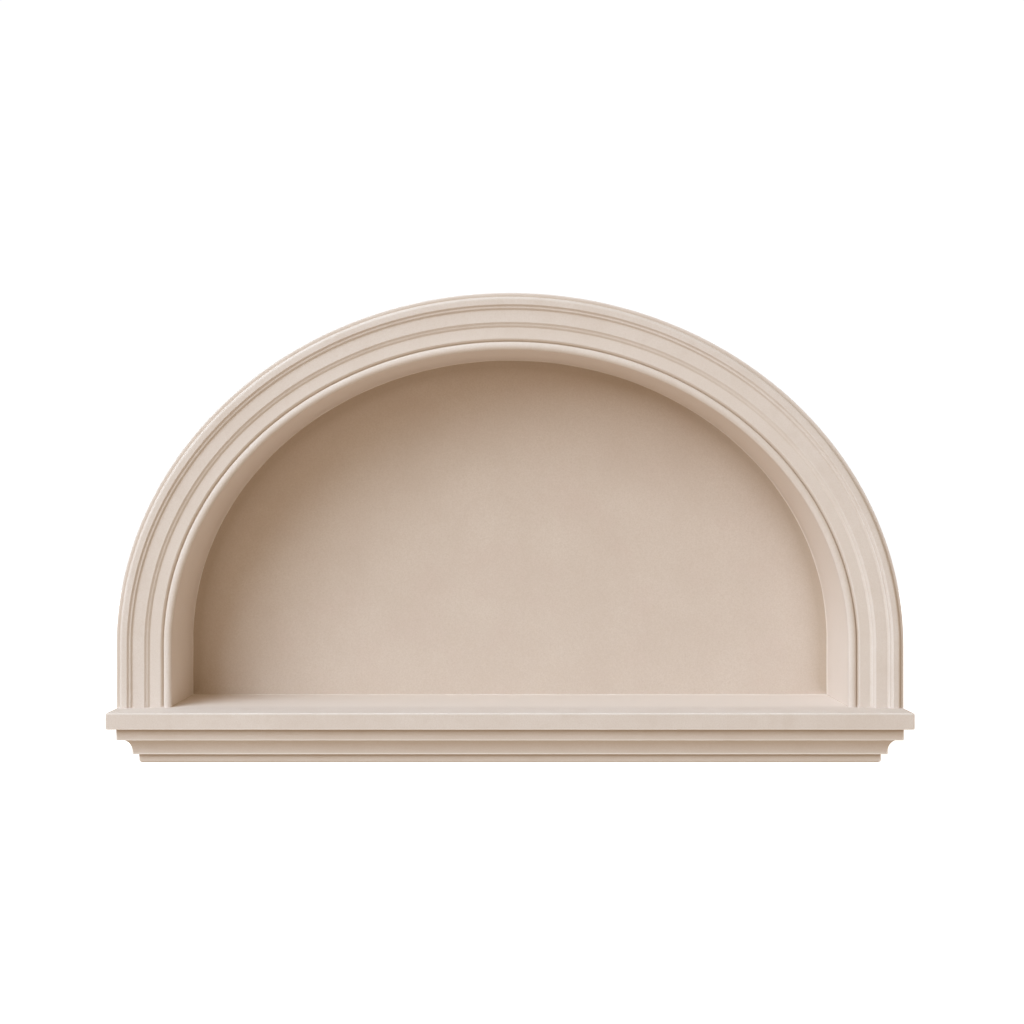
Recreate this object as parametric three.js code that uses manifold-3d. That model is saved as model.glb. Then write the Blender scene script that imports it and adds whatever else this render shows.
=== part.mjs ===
// Exterior wall niche in cast stone. A moulded arch surround carries a deep reveal, a plain panel
// closes the recess behind it, and both stand on a moulded sill that runs on as the niche floor.
// Millimetres, +Z up, X along the wall, and the front faces -Y. The origin is the middle of the base.
import * as THREE from "three";
import { mergeVertices } from "three/addons/utils/BufferGeometryUtils.js";
import Module from "manifold-3d";

const wasm = await Module();
wasm.setup();

// Opening, measured on the reveal
const openingWidth = 1200;
const openingRise = 526.5;
const jambHeight = 107;
const recessDepth = 192;

// Walls of the castings, and how far the surround stands proud of the wall it is built into
const revealWall = 38;
const panelThickness = 25;
const wallProjection = 55;

// Arch moulding from the reveal outwards: a roll, a quirk, two fasciae that step forward, each
// behind a narrow fillet, then the crown band, its rounded shoulder and an edge fillet. The risers
// between them lean out by the drafts, and all widths swell a little from the jambs to the crown.
const rollHalfWidth = 7.25;
const rollRise = 6;
const rollOverhang = 2;
const quirkWidth = 1;
const innerFasciaWidth = 22.5;
const innerFilletWidth = 5.5;
const outerFasciaWidth = 23.5;
const outerFilletWidth = 5.5;
const crownWidth = 11;
const shoulderWidth = 6;
const shoulderDepth = 8;
const edgeFilletWidth = 6.5;
const quirkRise = 4;
const innerRise = 3;
const outerRise = 3.5;
const quirkDraft = 4;
const riserDraft = 3;
const crownSwell = 1.04;

// Sill: a slab over a fillet, a cavetto with a flat band below it, and a base fillet
const sillProjection = 62;
const slabHeight = 29;
const bedFilletHeight = 20.5;
const bedFilletInset = 14.5;
const cavettoHeight = 22;
const cavettoTopInset = 19.5;
const cavettoInset = 36.5;
const bandHeight = 5.5;
const baseFilletHeight = 16;
const baseInset = 46;
const slabArris = 2.5;

// Hair joint between the castings
const jointGap = 0.3;

// Facets of the curves
const archSegments = 64;
const rollSegments = 9;
const shoulderSegments = 4;
const cavettoSegments = 6;

// Levels and depths that follow from the sizes above. Depths are measured back from the face of the
// crown band, and yOf turns them into Y.
const sillTop = baseFilletHeight + bandHeight + cavettoHeight + bedFilletHeight + slabHeight;
const rearDepth = recessDepth + panelThickness;
const middleDepth = (rearDepth - sillProjection) / 2;
const quirkDepth = 2 * outerRise + 2 * innerRise + quirkRise;
const rollWidth = 2 * rollHalfWidth - rollOverhang;
const innerWidth = rollWidth + quirkWidth + innerFasciaWidth + innerFilletWidth;
const bandWidth = crownWidth + shoulderWidth + edgeFilletWidth;
const outerWidth = outerFasciaWidth + outerFilletWidth + bandWidth;
const sillLength = openingWidth + 2 * (innerWidth + outerWidth);

function yOf(depth) {
  return depth - middleDepth;
}

function stone(color, roughness) {
  return new THREE.MeshStandardMaterial({ color, roughness, metalness: 0 });
}

// The opening's line from the right foot over the crown to the left foot, as points with the
// outward direction at each, lengthened by the swell. The feet stop a hair joint above the sill.
function openingLine() {
  const halfWidth = openingWidth / 2;
  const stations = [];
  const add = (x, z, outX, outZ) => {
    const at = new THREE.Vector2(x, z + sillTop);
    const out = new THREE.Vector2(outX, outZ).normalize();
    out.multiplyScalar(1 + (crownSwell - 1) * out.y * out.y);
    stations.push({ at, out });
  };
  add(halfWidth, jointGap, 1, 0);
  for (let i = 0; i <= archSegments; i++) {
    const angle = (Math.PI * i) / archSegments;
    const across = Math.cos(angle);
    const up = Math.sin(angle);
    add(halfWidth * across, jambHeight + openingRise * up, openingRise * across, halfWidth * up);
  }
  add(-halfWidth, jointGap, -1, 0);
  return stations;
}

// The surround's cross-section as a closed loop: x is the distance out from the reveal and y the
// depth behind the crown band's face.
function surroundSection() {
  const rear = recessDepth - jointGap;
  const section = new THREE.Path();
  section.moveTo(0, rear);
  const rollCentre = rollHalfWidth - rollOverhang;
  const rollStart = Math.PI - Math.acos(rollCentre / rollHalfWidth);
  const roll = new THREE.EllipseCurve(
    rollCentre, quirkDepth, rollHalfWidth, rollRise, rollStart, 2 * Math.PI,
  );
  for (const point of roll.getPoints(rollSegments)) section.lineTo(point.x, point.y);

  let out = rollCentre + rollHalfWidth;
  let depth = quirkDepth;
  const members = [
    [quirkWidth, quirkRise, quirkDraft],
    [innerFasciaWidth, innerRise, riserDraft],
    [innerFilletWidth, innerRise, riserDraft],
    [outerFasciaWidth, outerRise, riserDraft],
    [outerFilletWidth, outerRise, riserDraft],
  ];
  for (const [width, rise, draft] of members) {
    out += width;
    section.lineTo(out, depth);
    depth -= rise;
    section.lineTo(out + draft, depth);
  }

  out += crownWidth;
  const shoulder = new THREE.EllipseCurve(
    out, shoulderDepth, shoulderWidth, shoulderDepth, -Math.PI / 2, 0,
  );
  for (const point of shoulder.getPoints(shoulderSegments)) section.lineTo(point.x, point.y);
  out += shoulderWidth + edgeFilletWidth;
  section.lineTo(out, shoulderDepth);
  section.lineTo(out, wallProjection);
  section.lineTo(revealWall, wallProjection);
  section.lineTo(revealWall, rear);
  return section.getPoints(1);
}

// Sweeps a closed section along the opening's line and caps both feet.
function sweepAlongOpening(section) {
  const stations = openingLine();
  const positions = [];
  for (const { at, out } of stations) {
    for (const point of section) {
      positions.push(at.x + out.x * point.x, yOf(point.y), at.y + out.y * point.x);
    }
  }
  const count = section.length;
  const faces = [];
  for (let i = 0; i < stations.length - 1; i++) {
    for (let j = 0; j < count; j++) {
      const a = i * count + j;
      const b = i * count + ((j + 1) % count);
      faces.push(a, b, a + count, b, b + count, a + count);
    }
  }
  const lastRing = (stations.length - 1) * count;
  for (const [a, b, c] of THREE.ShapeUtils.triangulateShape(section, [])) {
    faces.push(a, c, b, lastRing + a, lastRing + b, lastRing + c);
  }
  return closedGeometry(positions, faces);
}

function closedGeometry(positions, faces) {
  const geometry = new THREE.BufferGeometry();
  geometry.setAttribute("position", new THREE.Float32BufferAttribute(positions, 3));
  geometry.setIndex(faces);
  if (signedVolume(geometry) < 0) geometry.setIndex(faces.reverse());
  geometry.computeVertexNormals();
  return geometry;
}

function signedVolume(geometry) {
  const corners = geometry.getAttribute("position");
  const [a, b, c] = [new THREE.Vector3(), new THREE.Vector3(), new THREE.Vector3()];
  let sum = 0;
  for (let i = 0; i < geometry.index.count; i += 3) {
    a.fromBufferAttribute(corners, geometry.index.getX(i));
    b.fromBufferAttribute(corners, geometry.index.getX(i + 1));
    c.fromBufferAttribute(corners, geometry.index.getX(i + 2));
    sum += a.dot(b.cross(c)) / 6;
  }
  return sum;
}

// The panel behind the recess has the outline of the reveal's outer face.
function backPanel() {
  const outline = openingLine().map(
    ({ at, out }) => new THREE.Vector2(at.x + out.x * revealWall, at.y + out.y * revealWall),
  );
  const geometry = new THREE.ExtrudeGeometry(new THREE.Shape(outline), {
    depth: panelThickness,
    bevelEnabled: false,
  });
  geometry.rotateX(Math.PI / 2);
  geometry.translate(0, yOf(rearDepth), 0);
  return geometry;
}

// The sill's profile from its base up: x is the inset from the slab's face and y the level.
function sillProfile() {
  const bandFoot = baseFilletHeight;
  const cavettoFoot = bandFoot + bandHeight;
  const cavettoTop = cavettoFoot + cavettoHeight;
  const slabFoot = cavettoTop + bedFilletHeight;
  const profile = new THREE.Path();
  profile.moveTo(baseInset, 0);
  profile.lineTo(baseInset, bandFoot);
  profile.lineTo(cavettoInset, bandFoot);
  const reach = cavettoInset - cavettoTopInset;
  const hollow = new THREE.EllipseCurve(
    cavettoTopInset, cavettoFoot, reach, cavettoHeight, 0, Math.PI / 2,
  );
  for (const point of hollow.getPoints(cavettoSegments)) profile.lineTo(point.x, point.y);
  profile.lineTo(bedFilletInset, cavettoTop);
  profile.lineTo(bedFilletInset, slabFoot);
  profile.lineTo(slabArris, slabFoot);
  profile.lineTo(0, slabFoot + slabArris);
  profile.lineTo(0, sillTop - slabArris);
  profile.lineTo(slabArris, sillTop);
  return profile.getPoints(1);
}

// The moulded part of the sill, mitred at both front corners and cut flat at the wall.
function mouldedSill() {
  const wall = yOf(wallProjection);
  const front = yOf(-sillProjection);
  const rings = sillProfile().map(({ x: inset, y: level }) => {
    const side = sillLength / 2 - inset;
    const face = front + inset;
    return [
      [side, wall, level],
      [-side, wall, level],
      [-side, face + slabArris, level],
      [-side + slabArris, face, level],
      [side - slabArris, face, level],
      [side, face + slabArris, level],
    ];
  });
  const count = rings[0].length;
  const faces = [];
  for (let i = 0; i < rings.length - 1; i++) {
    for (let j = 0; j < count; j++) {
      const a = i * count + j;
      const b = i * count + ((j + 1) % count);
      faces.push(a, b, a + count, b, b + count, a + count);
    }
  }
  const top = (rings.length - 1) * count;
  for (let j = 1; j < count - 1; j++) {
    faces.push(0, j + 1, j, top, top + j, top + j + 1);
  }
  return closedGeometry(rings.flat(2), faces);
}

// Behind the wall's face the sill goes on as a plain block under the reveal and the panel.
function sill() {
  const overlap = wallProjection / 2;
  const length = rearDepth - wallProjection + overlap;
  const tail = new THREE.BoxGeometry(openingWidth + 2 * revealWall, length, sillTop);
  tail.translate(0, yOf(rearDepth) - length / 2, sillTop / 2);
  return geometryOf(solidOf(mouldedSill()).add(solidOf(tail)));
}

function solidOf(geometry) {
  const bare = geometry.clone();
  bare.deleteAttribute("normal");
  bare.deleteAttribute("uv");
  const merged = mergeVertices(bare);
  const vertProperties = new Float32Array(merged.getAttribute("position").array);
  const triVerts = new Uint32Array(merged.index.array);
  return new wasm.Manifold(new wasm.Mesh({ numProp: 3, vertProperties, triVerts }));
}

function geometryOf(solid) {
  const mesh = solid.getMesh();
  return closedGeometry(Array.from(mesh.vertProperties), Array.from(mesh.triVerts));
}

function part(name, geometry, material) {
  const mesh = new THREE.Mesh(geometry, material);
  mesh.name = name;
  return mesh;
}

const smoothStone = stone(0xdccfc4, 0.85);
const renderedStone = stone(0xd3c1b2, 0.92);

const niche = new THREE.Group();
niche.add(part("arch_surround", sweepAlongOpening(surroundSection()), smoothStone));
niche.add(part("back_panel", backPanel(), renderedStone));
niche.add(part("sill", sill(), smoothStone));

export default niche;
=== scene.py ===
import math
from collections import namedtuple

import bmesh
import bpy
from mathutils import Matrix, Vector, noise
from mathutils.bvhtree import BVHTree


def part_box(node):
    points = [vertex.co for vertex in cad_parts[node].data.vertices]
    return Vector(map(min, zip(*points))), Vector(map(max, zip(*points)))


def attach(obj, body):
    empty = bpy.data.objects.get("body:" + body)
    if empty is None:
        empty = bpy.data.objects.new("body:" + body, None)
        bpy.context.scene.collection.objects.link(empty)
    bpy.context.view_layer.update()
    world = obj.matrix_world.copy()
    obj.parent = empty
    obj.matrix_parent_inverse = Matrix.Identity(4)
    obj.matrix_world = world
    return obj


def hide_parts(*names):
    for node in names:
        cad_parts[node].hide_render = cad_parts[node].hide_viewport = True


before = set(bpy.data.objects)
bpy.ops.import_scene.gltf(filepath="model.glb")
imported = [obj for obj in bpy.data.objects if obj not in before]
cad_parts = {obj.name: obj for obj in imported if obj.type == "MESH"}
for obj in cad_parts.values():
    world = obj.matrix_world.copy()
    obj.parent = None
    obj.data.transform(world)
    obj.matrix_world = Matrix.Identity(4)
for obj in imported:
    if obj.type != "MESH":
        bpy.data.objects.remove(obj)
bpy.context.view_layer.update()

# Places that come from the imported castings
surround_low, surround_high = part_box("arch_surround")
panel_low, panel_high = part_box("back_panel")
sill_low, sill_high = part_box("sill")
CROWN_Y = surround_low.y
SILL_TOP = sill_high.z
OUTER_HALF_WIDTH = surround_high.x
PANEL_DEPTH = panel_low.y - CROWN_Y
REAR_DEPTH = panel_high.y - CROWN_Y
SILL_PROJECTION = CROWN_Y - sill_low.y

# Arch moulding, from the reveal outwards. Its widths swell a little from the jambs to the crown.
ROLL_HALF_WIDTH = 0.00725
ROLL_RISE = 0.006
ROLL_OVERHANG = 0.002
QUIRK_WIDTH = 0.001
INNER_FASCIA_WIDTH = 0.0225
INNER_FILLET_WIDTH = 0.0055
OUTER_FASCIA_WIDTH = 0.0235
OUTER_FILLET_WIDTH = 0.0055
CROWN_WIDTH = 0.011
SHOULDER_WIDTH = 0.006
SHOULDER_DEPTH = 0.008
EDGE_FILLET_WIDTH = 0.0065
QUIRK_RISE = 0.004
INNER_RISE = 0.003
OUTER_RISE = 0.0035
QUIRK_DRAFT = 0.004
RISER_DRAFT = 0.003
CROWN_SWELL = 1.04
WALL_PROJECTION = 0.055
QUIRK_DEPTH = 2 * OUTER_RISE + 2 * INNER_RISE + QUIRK_RISE
MOULDING_WIDTH = (
    2 * ROLL_HALF_WIDTH - ROLL_OVERHANG + QUIRK_WIDTH
    + INNER_FASCIA_WIDTH + INNER_FILLET_WIDTH
    + OUTER_FASCIA_WIDTH + OUTER_FILLET_WIDTH
    + CROWN_WIDTH + SHOULDER_WIDTH + EDGE_FILLET_WIDTH
)

# Opening
OPENING_HALF_WIDTH = OUTER_HALF_WIDTH - MOULDING_WIDTH
JAMB_HEIGHT = 0.107
OPENING_RISE = surround_high.z - SILL_TOP - JAMB_HEIGHT - MOULDING_WIDTH * CROWN_SWELL
REVEAL_WALL = panel_high.x - OPENING_HALF_WIDTH

# Sill members, as heights and as insets from the slab's face
SLAB_HEIGHT = 0.029
BED_FILLET_HEIGHT = 0.0205
BED_FILLET_INSET = 0.0145
CAVETTO_HEIGHT = 0.022
CAVETTO_TOP_INSET = 0.0195
CAVETTO_INSET = 0.0365
BAND_HEIGHT = 0.0055
BASE_FILLET_HEIGHT = 0.016
BASE_INSET = 0.046

# How far arrises and inner corners are eased, and how much of a short side one easing may take up
ARRIS = 0.0014
STEP_EASE = 0.0018
INNER_CORNER = 0.0008
SLAB_ARRIS = 0.0028
SLAB_FOOT_ARRIS = 0.0018
BASE_ARRIS = 0.005
HIDDEN_ARRIS = 0.002
EASED_SHARE = 0.45

# How far wear moves the edges of the narrow inner fillet, so that it slopes, and the quirk's outer foot
INNER_FILLET_SLUMP = 0.0003
QUIRK_SLUMP = 0.0008

# Mortar pointing: the legs of the fillet in each corner, how unevenly it is drawn, how deep it is keyed
# into the corner, how hollow its face is, and the share of the leg that the jambs' feet have
POINTING_LEG = 0.0012
POINTING_WANDER = 0.0004
POINTING_WAVES = 18
POINTING_KEY = 0.0012
POINTING_HOLLOW = 0.36
JAMB_POINTING = 0.6

# How far the worked surface lies below the true one, at most, and how wide its hollows are
CASTING_HOLLOW = 0.00022
CASTING_HOLLOW_SIZE = 0.045
PANEL_HOLLOW = 0.0007
PANEL_HOLLOW_SIZE = 0.09

# How much finer and how much fainter a second set of hollows is, how deep the surface lies on average,
# as a share of the deepest hollow, and how far both sets together move it from there
FINER_HOLLOWS = 2.7
FAINTER_HOLLOWS = 0.5
MEAN_HOLLOW = 0.5
HOLLOW_SPREAD = 0.45

# How far off neighbouring stone occludes a surface, so that it gets painted shade, how many ways this is
# sought, and how far off the surface the search starts
CASTING_REACH = 0.012
PANEL_REACH = 0.09
REACH_WAYS = 44
OCCLUSION_START = 0.0003

# Mesh steps along the opening's outline, and how many of them a row of the panel's face takes
ARCH_STEPS = 300
JAMB_STEPS = 18
STEPS_PER_ROW = 2

# Mesh steps on flat faces, where they show and where they don't, and on round ones
FLAT_STEP = 0.006
PANEL_STEP = 0.0084
HIDDEN_STEP = 0.03
ARC_STEP = math.radians(18)
ROLL_STEPS = 26
SHOULDER_STEPS = 8
CAVETTO_STEPS = 16

# How close to its ends a straight run has one more point, and the longest run that has none
EDGE_STEP = 0.0014
SHORT_RUN = 3 * EDGE_STEP

# Edges that turn by more are sharp. Lengths below TINY count as none, and coordinates that differ by
# less than ALIGNED as the same. Points are one where this many of their decimals agree.
SHARP_TURN = math.radians(50)
TINY = 1e-7
ALIGNED = 1e-6
PLACE_DIGITS = 6

# Cast stone, in linear colours
STONE = (0.705, 0.615, 0.550)
STONE_LIGHT = (0.745, 0.662, 0.602)
STONE_DARK = (0.640, 0.540, 0.465)
# Painted highlight on arrises
STONE_PAINTED_HIGHLIGHT = (0.930, 0.875, 0.835)
# Painted shade in corners
STONE_PAINTED_SHADE = (0.480, 0.355, 0.250)
# Painted fill light inside the recess and under the slab
STONE_PAINTED_FILL = (0.795, 0.698, 0.620)

# The panel's render, in linear colours
RENDER = (0.675, 0.570, 0.490)
RENDER_LIGHT = (0.715, 0.615, 0.535)
RENDER_PINK = (0.690, 0.565, 0.495)
RENDER_DARK = (0.600, 0.490, 0.400)
# Painted shade near the surround
RENDER_PAINTED_SHADE = (0.430, 0.320, 0.220)

# Noise: how wide its features are, how much finer detail they have, and how strong that detail is
Noise = namedtuple("Noise", "size detail roughness")
STONE_GRAIN = Noise(size=0.0024, detail=3, roughness=0.65)
RENDER_GRAIN = Noise(size=0.0030, detail=4, roughness=0.70)

# Mottling: its noise, the band of that noise over which a tone comes in, and the share it comes up to
Mottling = namedtuple("Mottling", "noise band share")
STONE_CLOUDS = Mottling(Noise(size=0.11, detail=4, roughness=0.55), band=(0.34, 0.68), share=1.0)
STONE_STAINS = Mottling(Noise(size=0.035, detail=5, roughness=0.60), band=(0.50, 0.78), share=0.5)
STONE_SPECKLE = Mottling(STONE_GRAIN, band=(0.38, 0.68), share=0.46)
RENDER_CLOUDS = Mottling(Noise(size=0.12, detail=4, roughness=0.55), band=(0.32, 0.70), share=1.0)
RENDER_PATCHES = Mottling(Noise(size=0.07, detail=4, roughness=0.60), band=(0.50, 0.76), share=0.5)
RENDER_SPECKLE = Mottling(RENDER_GRAIN, band=(0.35, 0.75), share=0.7)

# Painted shade in corners and near the surround: the band of occlusion over which it comes in, and its
# share where the occlusion is deep
STONE_SHADE_BAND = (0.03, 0.30)
STONE_SHADE_SHARE = 0.74
RENDER_SHADE_BAND = (0.0, 0.26)
RENDER_SHADE_SHARE = 0.52

# Paler stone as painted fill light inside the recess and under the slab: how far behind the crown band and
# how far below the slab it is full, and its share
FILL_LIGHT_DEPTH = PANEL_DEPTH / 5
FILL_LIGHT_INSIDE = 0.8
FILL_LIGHT_DROP = BED_FILLET_HEIGHT / 2
FILL_LIGHT_UNDER_SLAB = 0.32

# Arrises with a painted highlight: the band of bends over which they turn pale, and how far, from the foot
# of the sill's slab down and on all the rest
HIGHLIGHT_BENDS = (0.20, 0.45)
HIGHLIGHT_FROM_SLAB_FOOT = 0.9
EDGE_HIGHLIGHT = 0.2

# Finish: the roughness at the two ends of the grain's band, the gloss, how strongly the relief tells, and
# how high its grain and its wider dimples stand
GRAIN_BAND = (0.3, 0.7)
Finish = namedtuple("Finish", "roughness gloss relief grain grain_height dimples dimple_height")
STONE_FINISH = Finish(
    roughness=(0.72, 0.86), gloss=0.25, relief=0.35,
    grain=STONE_GRAIN, grain_height=0.00025,
    dimples=Noise(size=0.012, detail=3, roughness=0.5), dimple_height=0.0006,
)
RENDER_FINISH = Finish(
    roughness=(0.82, 0.95), gloss=0.20, relief=0.50,
    grain=RENDER_GRAIN, grain_height=0.0006,
    dimples=Noise(size=0.020, detail=4, roughness=0.5), dimple_height=0.001,
)

# The photograph's view: a level 50 mm lens, straight on, its frame shifted on to the vanishing point
IMAGE_SIDE = 1024
LENS = 50.0
SENSOR = 36.0
VANISHING_POINT = (510.0, 520.0)
CAMERA_DISTANCE = 2.498
EYE_ABOVE_SILL = 0.3308

# Background, just over white, and the floor
WHITE = (1, 1, 1, 1)
PAPER_WHITE = 1.03
FLOOR_COLOUR = (0.9, 0.9, 0.9, 1)
FLOOR_HALF_SIDE = 6.0

# Light from all round: the ground's, the sky's, and how far they mix, as the sine of the angle
GROUND_LIGHT = (0.600, 0.505, 0.410)
SKY_LIGHT = (0.455, 0.372, 0.262)
HORIZON_BLUR = 0.3

# Both lamps are large squares, far off
LAMP_DISTANCE = 11.0
LAMP_SIDE = 8.25


def at_depth(depth):
    """The y of a depth behind the face of the crown band."""
    return CROWN_Y + depth


def rotated(vector, angle):
    """A plane vector turned by the angle, anticlockwise."""
    cosine = math.cos(angle)
    sine = math.sin(angle)
    return Vector((vector.x * cosine - vector.y * sine, vector.x * sine + vector.y * cosine))


def eased(corners):
    """Replaces each (x, y, radius) corner of a closed outline by an arc, and returns the points."""
    points = []
    count = len(corners)
    for i, (x, y, radius) in enumerate(corners):
        here = Vector((x, y))
        if radius == 0:
            points.append(here)
            continue
        before = Vector(corners[i - 1][:2]) - here
        after = Vector(corners[(i + 1) % count][:2]) - here
        room = EASED_SHARE * min(before.length, after.length)
        before.normalize()
        after.normalize()
        turn = math.pi - before.angle(after)
        leg = min(radius * math.tan(turn / 2), room)
        arc_radius = leg / math.tan(turn / 2)
        centre = here + (before + after).normalized() * math.hypot(leg, arc_radius)
        start = here + before * leg - centre
        sweep = start.angle_signed(here + after * leg - centre)
        steps = max(2, math.ceil(turn / ARC_STEP))
        for k in range(steps + 1):
            points.append(centre + rotated(start, -sweep * k / steps))
    return points


def arc(centre, radii, start, end, steps):
    """An elliptical arc from one angle to the other, both ends included, as corners with no radius."""
    corners = []
    for k in range(steps + 1):
        angle = start + (end - start) * k / steps
        x = centre[0] + radii[0] * math.cos(angle)
        y = centre[1] + radii[1] * math.sin(angle)
        corners.append((x, y, 0))
    return corners


def divided(start, end, step):
    """Points from start towards end, at most a step apart, with one more close to either end."""
    length = (end - start).length
    pieces = max(1, math.ceil(length / step))
    points = [start.lerp(end, k / pieces) for k in range(pieces)]
    if length > SHORT_RUN and step < HIDDEN_STEP:
        points.insert(1, start.lerp(end, EDGE_STEP / length))
        points.append(end.lerp(start, EDGE_STEP / length))
    return points


def subdivided(points, step_of, closed=True):
    """Adds points to the straight runs of an outline, no further apart than step_of(start, end) says."""
    result = []
    runs = len(points) if closed else len(points) - 1
    for i in range(runs):
        start = points[i]
        end = points[(i + 1) % len(points)]
        result += divided(start, end, step_of(start, end))
    if not closed:
        result.append(points[-1])
    return result


def jamb_line(side):
    """Stations (place, outward vector) up one jamb, from its foot to just below the springing."""
    stations = []
    for k in range(JAMB_STEPS):
        place = Vector((side * OPENING_HALF_WIDTH, SILL_TOP + JAMB_HEIGHT * k / JAMB_STEPS))
        stations.append((place, Vector((side, 0))))
    return stations


def opening_line():
    """Stations (place, outward vector) in the XZ plane, from the right foot to the left foot. The
    outward vector is a little longer than one towards the crown, by the swell."""
    springing = SILL_TOP + JAMB_HEIGHT
    arch = []
    for k in range(ARCH_STEPS + 1):
        angle = math.pi * k / ARCH_STEPS
        across = math.cos(angle)
        up = math.sin(angle)
        place = Vector((OPENING_HALF_WIDTH * across, springing + OPENING_RISE * up))
        out = Vector((OPENING_RISE * across, OPENING_HALF_WIDTH * up)).normalized()
        arch.append((place, out * (1 + (CROWN_SWELL - 1) * out.y ** 2)))
    return jamb_line(1) + arch + jamb_line(-1)[::-1]


def mesh_object(name, vertices, faces):
    """A named object from points and faces, with its faces turned outwards."""
    mesh = bpy.data.meshes.new(name)
    mesh.from_pydata([tuple(vertex) for vertex in vertices], [], faces)
    work = bmesh.new()
    work.from_mesh(mesh)
    bmesh.ops.remove_doubles(work, verts=work.verts, dist=TINY)
    bmesh.ops.recalc_face_normals(work, faces=work.faces)
    work.to_mesh(mesh)
    work.free()
    mesh.shade_smooth()
    mesh.set_sharp_from_angle(angle=SHARP_TURN)
    piece = bpy.data.objects.new(name, mesh)
    bpy.context.scene.collection.objects.link(piece)
    weighted = piece.modifiers.new("even_shading", "WEIGHTED_NORMAL")
    weighted.mode = "FACE_AREA"
    weighted.keep_sharp = True
    return piece


def loft(name, rings, closed_path=False):
    """Skins rings of equally many points, and caps the first and the last unless the path is closed."""
    count = len(rings[0])
    vertices = [point for ring in rings for point in ring]
    faces = []
    spans = len(rings) if closed_path else len(rings) - 1
    for i in range(spans):
        here = i * count
        there = ((i + 1) % len(rings)) * count
        for j in range(count):
            k = (j + 1) % count
            faces.append((here + j, here + k, there + k, there + j))
    if not closed_path:
        faces.append(tuple(range(count)))
        faces.append(tuple(range(len(vertices) - count, len(vertices))))
    return mesh_object(name, vertices, faces)


def store(mesh, name, values):
    """Keeps one number for each point, for the material to read by name."""
    attribute = mesh.attributes.new(name, "FLOAT", "POINT")
    attribute.data.foreach_set("value", values)


def bend_at(before, place, after, normal):
    """The curvature of a line through three points, positive where it bulges along the normal."""
    back = before - place
    on = after - place
    length = min(back.length, on.length)
    if length < TINY:
        return 0
    return -(back.normalized() + on.normalized()).dot(normal) / length


def mark_bends(piece, rings, hidden_y=math.inf):
    """Stores on each point how sharply the surface bulges there: up to 1 on an arris, and 0 from
    hidden_y back."""
    mesh = piece.data
    places = [vertex.co.to_tuple(PLACE_DIGITS) for vertex in mesh.vertices]
    normals = dict(zip(places, (normal.vector.copy() for normal in mesh.vertex_normals)))
    bends = dict.fromkeys(places, 0.0)
    for i, ring in enumerate(rings):
        for j, place in enumerate(ring):
            key = place.to_tuple(PLACE_DIGITS)
            bend = bend_at(ring[j - 1], place, ring[(j + 1) % len(ring)], normals[key])
            if 0 < i < len(rings) - 1:
                bend += bend_at(rings[i - 1][j], place, rings[i + 1][j], normals[key])
            if place.y < hidden_y - TINY:
                bends[key] = min(max(bend * ARRIS, 0), 1)
    store(mesh, "bend", [bends[key] for key in places])


def ways_round():
    """Directions spread evenly all round a point, on a golden spiral."""
    ways = []
    golden_turn = math.pi * (3 - math.sqrt(5))
    for k in range(REACH_WAYS):
        height = 1 - (2 * k + 1) / REACH_WAYS
        radius = math.sqrt(1 - height * height)
        angle = golden_turn * k
        ways.append(Vector((radius * math.cos(angle), radius * math.sin(angle), height)))
    return ways


def occlusion_at(start, normal, ways, stone_near, reach):
    """How far nearby stone walls a point in: 0 in the open, 1 deep in a corner."""
    open_share = 0.0
    closed_share = 0.0
    for way in ways:
        weight = way.dot(normal)
        if weight <= 0:
            continue
        distance = stone_near.ray_cast(start, way, reach)[3]
        if distance is None:
            distance = reach
        open_share += weight
        closed_share += weight * (1 - distance / reach)
    return closed_share / open_share


def mark_occlusion(piece, neighbour, reach, hidden_y):
    """Stores on each point how far the neighbour walls it in: nothing from hidden_y back."""
    near = neighbour.data
    points = [vertex.co for vertex in near.vertices]
    stone_near = BVHTree.FromPolygons(points, [polygon.vertices for polygon in near.polygons])
    ways = ways_round()
    mesh = piece.data
    occlusions = [0.0] * len(mesh.vertices)
    for i, (vertex, normal) in enumerate(zip(mesh.vertices, mesh.vertex_normals)):
        if vertex.co.y < hidden_y - TINY:
            start = vertex.co + normal.vector * OCCLUSION_START
            occlusions[i] = occlusion_at(start, normal.vector, ways, stone_near, reach)
    store(mesh, "occlusion", occlusions)


def wear(piece, depth, size, keep):
    """Hollows the surface unevenly by up to depth, leaving alone the points that keep(co) names."""
    mesh = piece.data
    normals = [normal.vector.copy() for normal in mesh.vertex_normals]
    places = [vertex.co.copy() for vertex in mesh.vertices]
    for i, place in enumerate(places):
        if keep(place):
            continue
        wave = noise.noise(place / size) + FAINTER_HOLLOWS * noise.noise(place * FINER_HOLLOWS / size)
        share = min(max(MEAN_HOLLOW + HOLLOW_SPREAD * wave, 0), 1)
        places[i] = place - normals[i] * depth * share
    mesh.vertices.foreach_set("co", [value for place in places for value in place])
    mesh.update()


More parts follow.
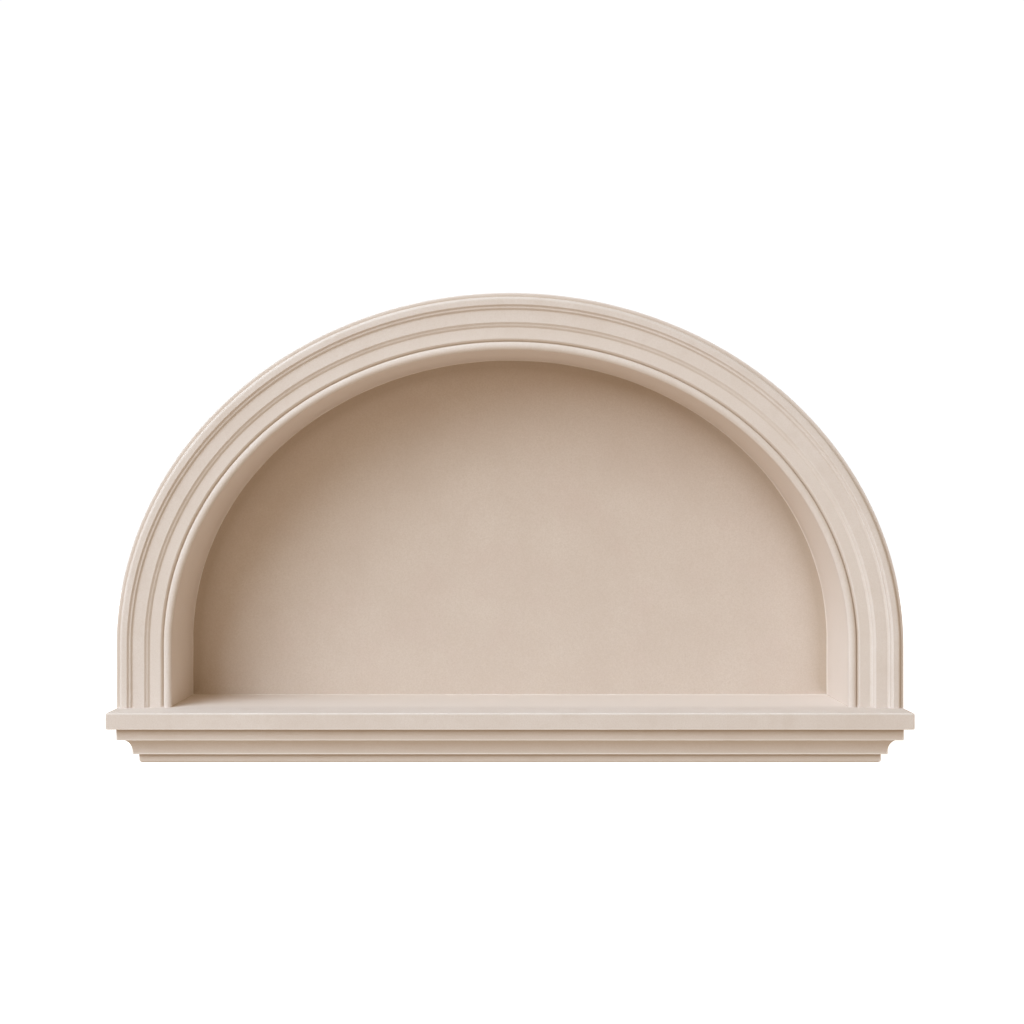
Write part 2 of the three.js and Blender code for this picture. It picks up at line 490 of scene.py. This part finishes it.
def surround_section():
    """The surround's section as closed points (out from the reveal, depth behind the crown band)."""
    roll_centre = ROLL_HALF_WIDTH - ROLL_OVERHANG
    roll_start = math.pi - math.acos(roll_centre / ROLL_HALF_WIDTH)
    roll_radii = (ROLL_HALF_WIDTH, ROLL_RISE)
    corners = [(0, PANEL_DEPTH, INNER_CORNER)]
    corners += arc((roll_centre, QUIRK_DEPTH), roll_radii, roll_start, 2 * math.pi, ROLL_STEPS)
    out = roll_centre + ROLL_HALF_WIDTH
    depth = QUIRK_DEPTH
    # Each member's width, the rise and draft of the step outside it, and the wear of that step's foot
    # and of its arris
    members = (
        (QUIRK_WIDTH, QUIRK_RISE, QUIRK_DRAFT, QUIRK_SLUMP, 0),
        (INNER_FASCIA_WIDTH, INNER_RISE, RISER_DRAFT, 0, INNER_FILLET_SLUMP),
        (INNER_FILLET_WIDTH, INNER_RISE, RISER_DRAFT, INNER_FILLET_SLUMP, 0),
        (OUTER_FASCIA_WIDTH, OUTER_RISE, RISER_DRAFT, 0, 0),
        (OUTER_FILLET_WIDTH, OUTER_RISE, RISER_DRAFT, 0, 0),
    )
    for width, rise, draft, foot_slump, arris_slump in members:
        out += width
        corners.append((out - foot_slump, depth - foot_slump, STEP_EASE))
        depth -= rise
        corners.append((out + draft + arris_slump, depth + arris_slump, STEP_EASE))
    out += CROWN_WIDTH
    shoulder = (SHOULDER_WIDTH, SHOULDER_DEPTH)
    corners += arc((out, SHOULDER_DEPTH), shoulder, -math.pi / 2, 0, SHOULDER_STEPS)
    out += SHOULDER_WIDTH + EDGE_FILLET_WIDTH
    corners.append((out, SHOULDER_DEPTH, ARRIS))
    corners.append((out, WALL_PROJECTION, HIDDEN_ARRIS))
    corners.append((REVEAL_WALL, WALL_PROJECTION, INNER_CORNER))
    corners.append((REVEAL_WALL, PANEL_DEPTH, HIDDEN_ARRIS))
    return subdivided(eased(corners), surround_step)


def surround_step(start, end):
    """The mesh step of one run of the surround's section, longer where the wall hides it."""
    outside_reveal = min(start.x, end.x) >= REVEAL_WALL - HIDDEN_ARRIS
    behind_wall_face = min(start.y, end.y) >= WALL_PROJECTION - ARRIS
    return HIDDEN_STEP if outside_reveal and behind_wall_face else FLAT_STEP


def make_surround():
    """The surround: its section carried along the opening's outline, from foot to foot."""
    section = surround_section()
    rings = []
    for place, out in opening_line():
        ring = []
        for point in section:
            x = place.x + out.x * point.x
            z = place.y + out.y * point.x
            ring.append(Vector((x, at_depth(point.y), z)))
        rings.append(ring)
    piece = loft("surround_casting", rings)
    mark_bends(piece, rings)
    foot = SILL_TOP + ARRIS
    wear(piece, CASTING_HOLLOW, CASTING_HOLLOW_SIZE, lambda co: co.z < foot)
    return piece


def panel_grid(rows, columns, crown, front):
    """The panel's face as points, faces and the indices of its rim. Its rows run from the right side of
    the outline to the left, and the last one closes on the crown."""
    width = columns + 1
    vertices = []
    for row in rows:
        for i in range(width):
            vertices.append(Vector((row.x * (1 - 2 * i / columns), front, row.y)))
    top = len(vertices)
    vertices.append(Vector((0, front, crown.y)))
    last_row = top - width
    faces = []
    for first in range(0, last_row, width):
        for corner in range(first, first + columns):
            faces.append((corner, corner + 1, corner + 1 + width, corner + width))
    for corner in range(last_row, last_row + columns):
        faces.append((corner, corner + 1, top))
    right = list(range(0, top, width))
    left = list(range(top - 1, 0, -width))
    foot = list(range(columns - 1, 0, -1))
    return vertices, faces, right + [top] + left + foot


def make_panel():
    """The panel: its worked face, and plain sides and a rear that the wall hides."""
    outline = [place + out * REVEAL_WALL for place, out in opening_line()]
    halfway = len(outline) // 2
    crown = outline[halfway]
    rows = outline[:halfway:STEPS_PER_ROW]
    columns = math.ceil(2 * rows[0].x / PANEL_STEP)
    front = at_depth(PANEL_DEPTH)
    rear = at_depth(REAR_DEPTH)
    vertices, faces, rim = panel_grid(rows, columns, crown, front)
    middle = Vector((0, 0, (SILL_TOP + crown.y) / 2))
    shrink = 1 - HIDDEN_ARRIS / OPENING_HALF_WIDTH
    previous = rim
    for y, scale in ((rear - HIDDEN_ARRIS, 1), (rear, shrink)):
        ring = []
        for index in rim:
            flat = Vector((vertices[index].x, 0, vertices[index].z))
            ring.append(len(vertices))
            vertices.append(middle + (flat - middle) * scale + Vector((0, y, 0)))
        for k in range(len(rim)):
            following = (k + 1) % len(rim)
            faces.append((previous[k], previous[following], ring[following], ring[k]))
        previous = ring
    faces.append(tuple(previous))
    piece = mesh_object("rendered_panel", vertices, faces)
    wear(piece, PANEL_HOLLOW, PANEL_HOLLOW_SIZE, lambda co: co.y > front + ARRIS)
    return piece


def sill_section():
    """The sill's moulded face from the base up, as points (inset from the slab's face, level). The
    first and last corners only close the outline while it is eased."""
    band_foot = BASE_FILLET_HEIGHT
    cavetto_foot = band_foot + BAND_HEIGHT
    cavetto_top = cavetto_foot + CAVETTO_HEIGHT
    slab_foot = cavetto_top + BED_FILLET_HEIGHT
    inside = BASE_INSET + SLAB_HEIGHT
    cavetto_centre = (CAVETTO_TOP_INSET, cavetto_foot)
    cavetto_radii = (CAVETTO_INSET - CAVETTO_TOP_INSET, CAVETTO_HEIGHT)
    corners = [
        (inside, 0, 0),
        (BASE_INSET, 0, BASE_ARRIS),
        (BASE_INSET, band_foot, INNER_CORNER),
        (CAVETTO_INSET, band_foot, ARRIS),
        *arc(cavetto_centre, cavetto_radii, 0, math.pi / 2, CAVETTO_STEPS),
        (BED_FILLET_INSET, cavetto_top, ARRIS),
        (BED_FILLET_INSET, slab_foot, INNER_CORNER),
        (0, slab_foot, SLAB_FOOT_ARRIS),
        (0, SILL_TOP, SLAB_ARRIS),
        (inside, SILL_TOP, 0),
    ]
    points = eased(corners)[1:-1]
    return subdivided(points, lambda start, end: FLAT_STEP, closed=False)


def sill_runs(outline):
    """Divides the sill's plan outline into the same number of points at every level."""
    front_pieces = math.ceil(2 * OUTER_HALF_WIDTH / FLAT_STEP)
    side_pieces = math.ceil((SILL_PROJECTION + WALL_PROJECTION) / FLAT_STEP)
    points = []
    for i, start in enumerate(outline):
        end = outline[(i + 1) % len(outline)]
        length = (end - start).length
        long_run = end.x - start.x > OPENING_HALF_WIDTH
        along_front = long_run and abs(start.y - end.y) < ALIGNED and start.y < CROWN_Y
        along_side = abs(start.x - end.x) < ALIGNED and min(start.y, end.y) < CROWN_Y
        step = 2 * OUTER_HALF_WIDTH
        if along_front:
            step = length / front_pieces
        elif along_side:
            step = length / side_pieces
        points += divided(start, end, step * (1 + TINY))
    return points


def make_sill():
    """The sill: rings in plan, one for each level of its section, closed by its base and top."""
    wall = at_depth(WALL_PROJECTION)
    rear = at_depth(REAR_DEPTH)
    front = at_depth(-SILL_PROJECTION)
    tail = OPENING_HALF_WIDTH + REVEAL_WALL
    rings = []
    for inset, level in sill_section():
        side = OUTER_HALF_WIDTH - inset
        face = front + inset
        corners = [
            (side, wall, 0),
            (tail, wall, 0),
            (tail, rear, 0),
            (-tail, rear, 0),
            (-tail, wall, 0),
            (-side, wall, 0),
            (-side, face, SLAB_ARRIS),
            (side, face, SLAB_ARRIS),
        ]
        rings.append([Vector((point.x, point.y, level)) for point in sill_runs(eased(corners))])
    piece = loft("sill_casting", rings)
    mark_bends(piece, rings, wall)
    wear(
        piece, CASTING_HOLLOW, CASTING_HOLLOW_SIZE,
        lambda co: co.z < INNER_CORNER or co.z > SILL_TOP - INNER_CORNER or co.y > wall - ARRIS,
    )
    return piece


def pointing_leg(place):
    """The leg of the mortar fillet at a place, which wanders a little as drawn by hand."""
    return POINTING_LEG + POINTING_WANDER * noise.noise(place * POINTING_WAVES)


def pointing_profile(leg):
    """The fillet's section in a corner: distances from the two faces, slightly hollow between them."""
    key = -POINTING_KEY
    hollow = POINTING_HOLLOW * leg
    return ((key, key), (leg, key), (leg, 0), (hollow, hollow), (0, leg), (key, leg))


def make_panel_pointing():
    """The fillet round the panel, in one loop that is mitred in the two bottom corners."""
    line = opening_line()[1:-1]
    line.append((Vector((-OPENING_HALF_WIDTH, SILL_TOP)), Vector((-1, -1))))
    steps = math.ceil(2 * OPENING_HALF_WIDTH / FLAT_STEP)
    for k in range(1, steps):
        x = OPENING_HALF_WIDTH * (2 * k / steps - 1)
        line.append((Vector((x, SILL_TOP)), Vector((0, -1))))
    line.append((Vector((OPENING_HALF_WIDTH, SILL_TOP)), Vector((1, -1))))
    rings = []
    for place, out in line:
        here = Vector((place.x, 0, place.y))
        ring = []
        for from_reveal, from_panel in pointing_profile(pointing_leg(here)):
            point = place - out * from_reveal
            ring.append(Vector((point.x, at_depth(PANEL_DEPTH) - from_panel, point.y)))
        rings.append(ring)
    return loft("panel_pointing", rings, closed_path=True)


def make_jamb_pointing(side, name):
    """The fillet along the foot of one reveal, from the roll to the back panel."""
    start = QUIRK_DEPTH + ROLL_RISE
    length = PANEL_DEPTH - start
    steps = math.ceil(length / FLAT_STEP)
    rings = []
    for k in range(steps + 1):
        y = at_depth(start + length * k / steps)
        leg = JAMB_POINTING * pointing_leg(Vector((side, y, SILL_TOP)))
        ring = []
        for from_reveal, from_floor in pointing_profile(leg):
            ring.append(Vector((side * (OPENING_HALF_WIDTH - from_reveal), y, SILL_TOP + from_floor)))
        rings.append(ring)
    return loft(name, rings)


class Shader:
    """A material under construction: adds nodes and links their sockets."""

    def __init__(self, name):
        self.material = bpy.data.materials.new(name)
        self.material.use_nodes = True
        self.tree = self.material.node_tree
        self.surface = self.tree.nodes["Principled BSDF"]
        self.place = self.add("ShaderNodeTexCoord").outputs["Object"]
        self.noises = {}

    def add(self, kind, **settings):
        """A new node with its settings made."""
        node = self.tree.nodes.new(kind)
        for key, value in settings.items():
            setattr(node, key, value)
        return node

    def link(self, source, target):
        self.tree.links.new(source, target)

    def noise(self, kind):
        """The values of one kind of noise, fixed to the object, from one node however often it is used."""
        if kind not in self.noises:
            texture = self.add("ShaderNodeTexNoise")
            texture.inputs["Scale"].default_value = 1 / kind.size
            texture.inputs["Detail"].default_value = kind.detail
            texture.inputs["Roughness"].default_value = kind.roughness
            self.link(self.place, texture.inputs["Vector"])
            self.noises[kind] = texture.outputs["Fac"]
        return self.noises[kind]

    def attribute(self, name):
        """The number that store() keeps on the points under this name, or 0 where there is none."""
        return self.add("ShaderNodeAttribute", attribute_name=name).outputs["Fac"]

    def ramp(self, source, band, values=(0.0, 1.0)):
        """Maps the source from the band's ends on to the two values, clamped."""
        node = self.add("ShaderNodeMapRange")
        node.inputs["From Min"].default_value = band[0]
        node.inputs["From Max"].default_value = band[1]
        node.inputs["To Min"].default_value = values[0]
        node.inputs["To Max"].default_value = values[1]
        self.link(source, node.inputs["Value"])
        return node.outputs["Result"]

    def blend(self, factor, under, over):
        """Mixes two colours, each a tuple or a socket."""
        node = self.add("ShaderNodeMix", data_type="RGBA")
        self.link(factor, node.inputs["Factor"])
        for key, value in (("A", under), ("B", over)):
            socket = next(s for s in node.inputs if s.name == key and s.type == "RGBA")
            if isinstance(value, tuple):
                socket.default_value = (*value, 1)
            else:
                self.link(value, socket)
        return next(s for s in node.outputs if s.type == "RGBA")

    def tint(self, colour, tone, source, band, share):
        """Brings the tone into the colour, from none at the band's first end to share at its second."""
        return self.blend(self.ramp(source, band, (0.0, share)), colour, tone)

    def mottle(self, colour, tone, mottling):
        """Brings the tone into the colour where the mottling's noise is high."""
        return self.tint(colour, tone, self.noise(mottling.noise), mottling.band, mottling.share)

    def bump(self, height, strength, distance, under=None):
        """A surface normal that follows the height, on top of the one under it."""
        node = self.add("ShaderNodeBump")
        node.inputs["Strength"].default_value = strength
        node.inputs["Distance"].default_value = distance
        self.link(height, node.inputs["Height"])
        if under is not None:
            self.link(under, node.inputs["Normal"])
        return node.outputs["Normal"]

    def complete(self, colour, finish):
        """Gives the surface its colour, and the roughness, gloss and relief of its finish."""
        grain = self.noise(finish.grain)
        soft = self.bump(self.noise(finish.dimples), finish.relief, finish.dimple_height)
        normal = self.bump(grain, finish.relief, finish.grain_height, soft)
        self.link(colour, self.surface.inputs["Base Color"])
        self.link(self.ramp(grain, GRAIN_BAND, finish.roughness), self.surface.inputs["Roughness"])
        self.link(normal, self.surface.inputs["Normal"])
        self.surface.inputs["Specular IOR Level"].default_value = finish.gloss
        return self.material


def stone_material():
    """Smooth cast stone: cloudy tone, a fine sandy grain, painted highlights on arrises and painted shade
    in corners, and paler with painted fill light inside the recess and under the slab."""
    shader = Shader("cast_stone")
    axes = shader.add("ShaderNodeSeparateXYZ")
    shader.link(shader.place, axes.inputs["Vector"])
    slab_foot = SILL_TOP - SLAB_HEIGHT
    colour = shader.mottle(STONE, STONE_LIGHT, STONE_CLOUDS)
    colour = shader.mottle(colour, STONE_DARK, STONE_STAINS)
    colour = shader.mottle(colour, STONE_DARK, STONE_SPECKLE)
    # Painted fill light: paler inside the recess, behind the crown band's face, and under the slab
    inside = (at_depth(0), at_depth(FILL_LIGHT_DEPTH))
    colour = shader.tint(colour, STONE_PAINTED_FILL, axes.outputs["Y"], inside, FILL_LIGHT_INSIDE)
    under_slab = (slab_foot, slab_foot - FILL_LIGHT_DROP)
    colour = shader.tint(colour, STONE_PAINTED_FILL, axes.outputs["Z"], under_slab, FILL_LIGHT_UNDER_SLAB)
    # Painted highlight: arrises turn pale where they bend, most from the slab's foot down
    slab_arris = (slab_foot + SLAB_ARRIS, slab_foot + ARRIS)
    highlight_by_level = shader.ramp(axes.outputs["Z"], slab_arris, (EDGE_HIGHLIGHT, HIGHLIGHT_FROM_SLAB_FOOT))
    highlight_share = shader.add("ShaderNodeMath", operation="MULTIPLY")
    shader.link(shader.ramp(shader.attribute("bend"), HIGHLIGHT_BENDS), highlight_share.inputs[0])
    shader.link(highlight_by_level, highlight_share.inputs[1])
    colour = shader.blend(highlight_share.outputs["Value"], colour, STONE_PAINTED_HIGHLIGHT)
    # Painted shade in corners and creases, where nearby stone walls the surface in
    occlusion = shader.attribute("occlusion")
    colour = shader.tint(colour, STONE_PAINTED_SHADE, occlusion, STONE_SHADE_BAND, STONE_SHADE_SHARE)
    return shader.complete(colour, STONE_FINISH)


def render_material():
    """The panel's rendered face: cloudier, with faint pink patches, a rougher sandy grain, and painted
    shade near the surround.
    """
    shader = Shader("panel_render")
    colour = shader.mottle(RENDER, RENDER_LIGHT, RENDER_CLOUDS)
    colour = shader.mottle(colour, RENDER_PINK, RENDER_PATCHES)
    colour = shader.mottle(colour, RENDER_DARK, RENDER_SPECKLE)
    # Painted shade on the panel where the surround walls it in
    occlusion = shader.attribute("occlusion")
    colour = shader.tint(colour, RENDER_PAINTED_SHADE, occlusion, RENDER_SHADE_BAND, RENDER_SHADE_SHARE)
    return shader.complete(colour, RENDER_FINISH)


def dress(piece, material, slot, *nodes):
    """Gives a piece its material and its body, and hides the castings that it stands for. The slot is not
    used.
    """
    piece.data.materials.append(material)
    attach(piece, "root")
    if nodes:
        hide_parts(*nodes)


def make_floor():
    """A pale floor under the niche, which the camera sees and the light passes by."""
    half = FLOOR_HALF_SIDE
    corners = [(-half, -half, 0), (half, -half, 0), (half, half, 0), (-half, half, 0)]
    mesh = bpy.data.meshes.new("floor")
    mesh.from_pydata(corners, [], [(0, 1, 2, 3)])
    floor = bpy.data.objects.new("floor", mesh)
    bpy.context.scene.collection.objects.link(floor)
    material = bpy.data.materials.new("pale_floor")
    material.use_nodes = True
    surface = material.node_tree.nodes["Principled BSDF"]
    surface.inputs["Base Color"].default_value = FLOOR_COLOUR
    surface.inputs["Emission Color"].default_value = WHITE
    surface.inputs["Emission Strength"].default_value = PAPER_WHITE
    mesh.materials.append(material)
    floor.visible_diffuse = False
    floor.visible_glossy = False
    floor.visible_shadow = False


def make_camera():
    """The photograph's camera, level and straight in front of the niche."""
    data = bpy.data.cameras.new("camera")
    data.lens = LENS
    data.sensor_width = SENSOR
    data.shift_x = (IMAGE_SIDE / 2 - VANISHING_POINT[0]) / IMAGE_SIDE
    data.shift_y = (VANISHING_POINT[1] - IMAGE_SIDE / 2) / IMAGE_SIDE
    camera = bpy.data.objects.new("camera", data)
    camera.location = (0, CROWN_Y - CAMERA_DISTANCE, SILL_TOP + EYE_ABOVE_SILL)
    camera.rotation_euler = (math.radians(90), 0, 0)
    bpy.context.scene.collection.objects.link(camera)
    bpy.context.scene.camera = camera


def area_light(name, azimuth, elevation, energy, colour):
    """A soft square light that looks at the middle of the niche."""
    data = bpy.data.lights.new(name, "AREA")
    data.size = LAMP_SIDE
    data.energy = energy
    data.color = colour
    light = bpy.data.objects.new(name, data)
    turn = math.radians(azimuth)
    rise = math.radians(elevation)
    away = Vector((math.sin(turn) * math.cos(rise), -math.cos(turn) * math.cos(rise), math.sin(rise)))
    middle = Vector((0, 0, (SILL_TOP + surround_high.z) / 2))
    light.location = middle + away * LAMP_DISTANCE
    light.rotation_euler = away.to_track_quat("Z", "Y").to_euler()
    bpy.context.scene.collection.objects.link(light)


def make_world():
    """A plain white background for the camera, and otherwise dim warm light from ground and sky."""
    world = bpy.data.worlds.new("studio")
    world.use_nodes = True
    bpy.context.scene.world = world
    tree = world.node_tree
    place = tree.nodes.new("ShaderNodeTexCoord")
    direction = tree.nodes.new("ShaderNodeSeparateXYZ")
    tree.links.new(place.outputs["Generated"], direction.inputs["Vector"])
    rise = tree.nodes.new("ShaderNodeMapRange")
    rise.inputs["From Min"].default_value = -HORIZON_BLUR
    rise.inputs["From Max"].default_value = HORIZON_BLUR
    tree.links.new(direction.outputs["Z"], rise.inputs["Value"])
    ground = tree.nodes["Background"]
    ground.inputs["Color"].default_value = (*GROUND_LIGHT, 1)
    sky = tree.nodes.new("ShaderNodeBackground")
    sky.inputs["Color"].default_value = (*SKY_LIGHT, 1)
    ambient = tree.nodes.new("ShaderNodeMixShader")
    tree.links.new(rise.outputs["Result"], ambient.inputs["Fac"])
    tree.links.new(ground.outputs["Background"], ambient.inputs[1])
    tree.links.new(sky.outputs["Background"], ambient.inputs[2])
    seen = tree.nodes.new("ShaderNodeBackground")
    seen.inputs["Color"].default_value = WHITE
    seen.inputs["Strength"].default_value = PAPER_WHITE
    path = tree.nodes.new("ShaderNodeLightPath")
    mix = tree.nodes.new("ShaderNodeMixShader")
    tree.links.new(path.outputs["Is Camera Ray"], mix.inputs["Fac"])
    tree.links.new(ambient.outputs["Shader"], mix.inputs[1])
    tree.links.new(seen.outputs["Background"], mix.inputs[2])
    tree.links.new(mix.outputs["Shader"], tree.nodes["World Output"].inputs["Surface"])


bpy.context.scene.view_settings.view_transform = "Standard"
make_camera()
make_world()
make_floor()
area_light("key", azimuth=-38, elevation=32, energy=1035, colour=(0.75, 0.86, 0.98))
area_light("upper_left", azimuth=-55, elevation=55, energy=545, colour=(0.58, 0.78, 0.99))

stone = stone_material()
render = render_material()
surround = make_surround()
sill = make_sill()
panel = make_panel()

# No painted shade is sought behind the panel's face, where the wall hides everything, or on the sill
# behind the wall's face, where only the flat floor of the recess shows
behind_panel_face = at_depth(PANEL_DEPTH) + ARRIS
mark_occlusion(surround, surround, CASTING_REACH, behind_panel_face)
mark_occlusion(sill, sill, CASTING_REACH, at_depth(WALL_PROJECTION))
mark_occlusion(panel, surround, PANEL_REACH, behind_panel_face)
dress(surround, stone, "cast_stone", "arch_surround")
dress(sill, stone, "cast_stone", "sill")
dress(panel, render, "panel_render", "back_panel")
dress(make_panel_pointing(), stone, "cast_stone")
dress(make_jamb_pointing(-1, "left_foot_pointing"), render, "panel_render")
dress(make_jamb_pointing(1, "right_foot_pointing"), render, "panel_render")
